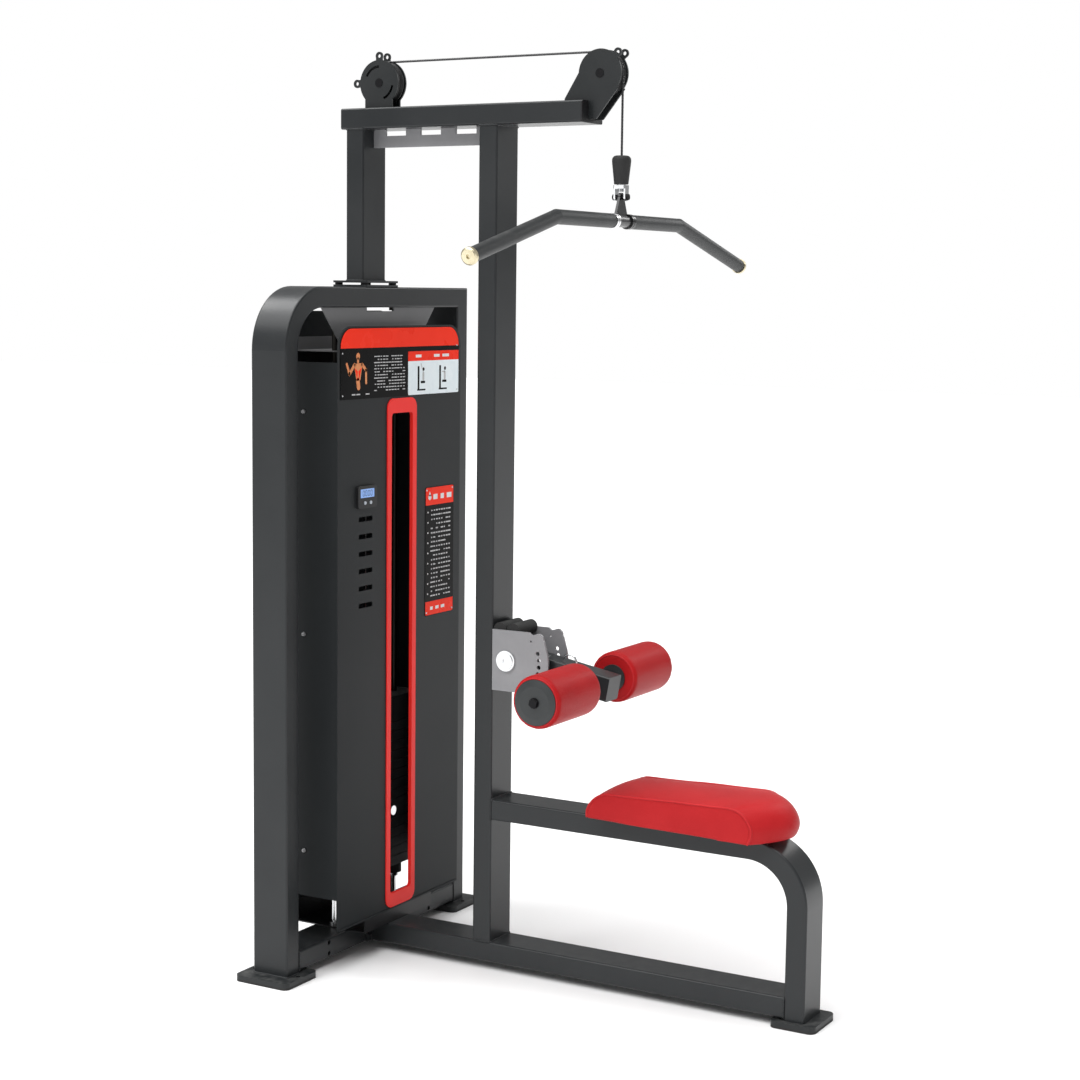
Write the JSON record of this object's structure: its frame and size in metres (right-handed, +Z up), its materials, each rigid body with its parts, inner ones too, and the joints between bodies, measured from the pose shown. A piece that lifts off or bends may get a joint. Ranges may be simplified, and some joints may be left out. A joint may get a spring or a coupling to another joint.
{
  "type": "lat pulldown machine",
  "caption": "Seated lat pulldown machine: shrouded weight stack, overhead boom with two cable pulleys and a wide bar, padded seat and padded thigh rollers on an adjustable arm.",
  "frame": {"origin": "on the floor, under the centre of the machine's overall box", "axes": "+Z up, the user sits at the -Y end and faces the weight tower at +Y, X runs across the machine"},
  "size_m": [1.342, 1.367, 2.222],
  "materials": {
    "frame_paint": "semi-gloss dark grey powder coat",
    "bracket_paint": "satin silver-grey coat",
    "black_steel": "black oxide",
    "black_plastic": "moulded black",
    "rubber": "matt black rubber",
    "grip_rubber": "matt dark grey foam rubber",
    "hanger_paint": "satin black",
    "seat_board_paint": "black-stained plywood",
    "seat_cover": "red upholstery vinyl",
    "roller_cover": "red upholstery vinyl over foam",
    "cable_sheath": "black nylon sheath over steel rope",
    "chrome": "bright chrome",
    "shroud_paint": "fine textured charcoal sheet",
    "trim_plastic": "bright red moulding",
    "placard_film": "printed film",
    "button_plastic": "pale moulded",
    "weight_iron": "black coated iron"
  },
  "bodies": {
    "frame": {"left_upright": "frame_paint", "top_beam": "frame_paint", "right_upright": "frame_paint", "cross_beam": "frame_paint", "foot_plates": "frame_paint", "foot_pads": "rubber", "joint_flanges": "frame_paint", "frame_bolts": "black_steel", "rear_post": "frame_paint", "boom": "frame_paint", "boom_caps": "black_plastic", "main_post": "frame_paint", "base_beam": "frame_paint", "seat_frame": "frame_paint", "seat_board": "seat_board_paint", "seat_pad": "seat_cover", "hanger_rail": "bracket_paint", "rear_pulley_bracket": "bracket_paint", "front_pulley_bracket": "bracket_paint", "pulley_axles": "black_steel", "cable_top_run": "cable_sheath", "cheek_plates": "bracket_paint", "pivot_bolt": "chrome", "arm_stops": "rubber", "shroud_brackets": "black_steel", "front_shroud": "shroud_paint", "rear_shroud": "shroud_paint", "window_trim": "trim_plastic", "placards": "placard_film", "counter_housing": "black_plastic", "guide_rods": "chrome", "stack_bumpers": "rubber", "fixed_weights": "weight_iron"},
    "stack": {"lifted_weights": "weight_iron", "head_plate": "weight_iron", "selector_stem": "chrome", "cable_stack_run": "cable_sheath"},
    "selector_pin": {"selector_pin": "chrome"},
    "rear_pulley": {"rear_pulley": "black_plastic"},
    "front_pulley": {"front_pulley": "black_plastic"},
    "cable_end": {"cable_stopper": "rubber", "swivel_stud": "chrome", "cable_front_run": "cable_sheath"},
    "shackle": {"shackle": "chrome", "shackle_pin": "black_steel"},
    "hanger": {"bar_hanger": "hanger_paint"},
    "bar": {"lat_bar": "chrome", "bar_grips": "grip_rubber", "bar_collars": "black_steel", "bar_end_caps": "chrome"},
    "thigh_arm": {"thigh_arm": "frame_paint", "arm_bail": "chrome", "roller_shaft": "chrome"},
    "lock_plunger": {"lock_plunger": "chrome"},
    "left_roller": {"left_roller_core": "black_plastic", "left_roller": "roller_cover"},
    "right_roller": {"right_roller_core": "black_plastic", "right_roller": "roller_cover"},
    "counter_button_left": {"counter_button_left": "button_plastic"},
    "counter_button_right": {"counter_button_right": "button_plastic"}
  },
  "joints": [
    {"name": "stack_lift", "type": "slide", "parent": "frame", "child": "stack", "axis": [0, 0, 1], "range_m": [0, 0.75], "deforming": ["cable_stack_run"]},
    {"name": "pin_pull", "type": "slide", "parent": "stack", "child": "selector_pin", "axis": [0, -1, 0], "range_m": [0, 0.075]},
    {"name": "rear_pulley_turn", "type": "hinge", "parent": "frame", "child": "rear_pulley", "pos_m": [0, 0.5265, 2.148], "axis": [1, 0, 0], "range_deg": [0, 860]},
    {"name": "front_pulley_turn", "type": "hinge", "parent": "frame", "child": "front_pulley", "pos_m": [0, -0.0795, 2.148], "axis": [1, 0, 0], "range_deg": [0, 860]},
    {"name": "cable_pull", "type": "slide", "parent": "frame", "child": "cable_end", "axis": [0, 0, -1], "range_m": [0, 0.75], "deforming": ["cable_front_run"]},
    {"name": "shackle_swivel", "type": "hinge", "parent": "cable_end", "child": "shackle", "pos_m": [0, -0.1295, 1.895], "axis": [0, 0, 1], "range_deg": [-45, 45]},
    {"name": "hanger_tilt", "type": "hinge", "parent": "shackle", "child": "hanger", "pos_m": [0, -0.1295, 1.868], "axis": [0, 1, 0], "range_deg": [-12, 12]},
    {"name": "bar_roll", "type": "hinge", "parent": "hanger", "child": "bar", "pos_m": [0, -0.1295, 1.813], "axis": [1, 0, 0], "continuous": true},
    {"name": "thigh_arm_turn", "type": "hinge", "parent": "frame", "child": "thigh_arm", "pos_m": [0, 0.1345, 0.771], "axis": [-1, 0, 0], "range_deg": [-21, 10.5]},
    {"name": "lock_push", "type": "slide", "parent": "thigh_arm", "child": "lock_plunger", "axis": [-1, 0, 0], "range_m": [0, 0.008]},
    {"name": "left_roller_spin", "type": "hinge", "parent": "thigh_arm", "child": "left_roller", "pos_m": [-0.15, -0.08399, 0.73169], "axis": [1, 0, 0], "continuous": true},
    {"name": "right_roller_spin", "type": "hinge", "parent": "thigh_arm", "child": "right_roller", "pos_m": [0.15, -0.08399, 0.73169], "axis": [1, 0, 0], "continuous": true},
    {"name": "button_left_press", "type": "slide", "parent": "frame", "child": "counter_button_left", "axis": [0, 1, 0], "range_m": [0, 0.001], "stiffness_N_per_m": 500},
    {"name": "button_right_press", "type": "slide", "parent": "frame", "child": "counter_button_right", "axis": [0, 1, 0], "range_m": [0, 0.001], "stiffness_N_per_m": 500}
  ],
  "couplings": [
    {"joint": "cable_pull", "follows": "stack_lift", "ratio": 1},
    {"joint": "rear_pulley_turn", "follows": "stack_lift", "rad_per_m": 20},
    {"joint": "front_pulley_turn", "follows": "stack_lift", "rad_per_m": 20}
  ]
}
